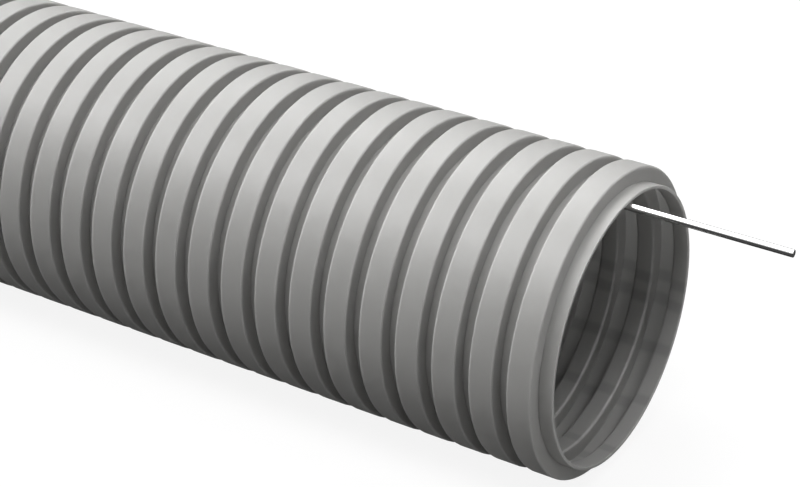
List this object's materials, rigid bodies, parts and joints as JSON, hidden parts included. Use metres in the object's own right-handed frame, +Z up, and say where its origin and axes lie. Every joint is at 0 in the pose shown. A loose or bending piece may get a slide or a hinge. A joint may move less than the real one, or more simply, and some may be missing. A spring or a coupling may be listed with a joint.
{
  "type": "corrugated conduit",
  "caption": "Straight cut length of corrugated plastic cable conduit with ring-shaped ribs and a steel draw wire through its bore.",
  "frame": {"origin": "on the floor under the middle of the conduit's length, in line with its axis", "axes": "+X along the conduit to the pictured end, +Z up; the crests rest on the plane z = 0"},
  "size_m": [1.052, 0.0498, 0.05],
  "materials": {
    "grey_pvc": "matt moulded",
    "steel_wire": "bright drawn"
  },
  "bodies": {
    "root": {"conduit_tube": "grey_pvc", "draw_wire": "steel_wire"}
  },
  "joints": []
}
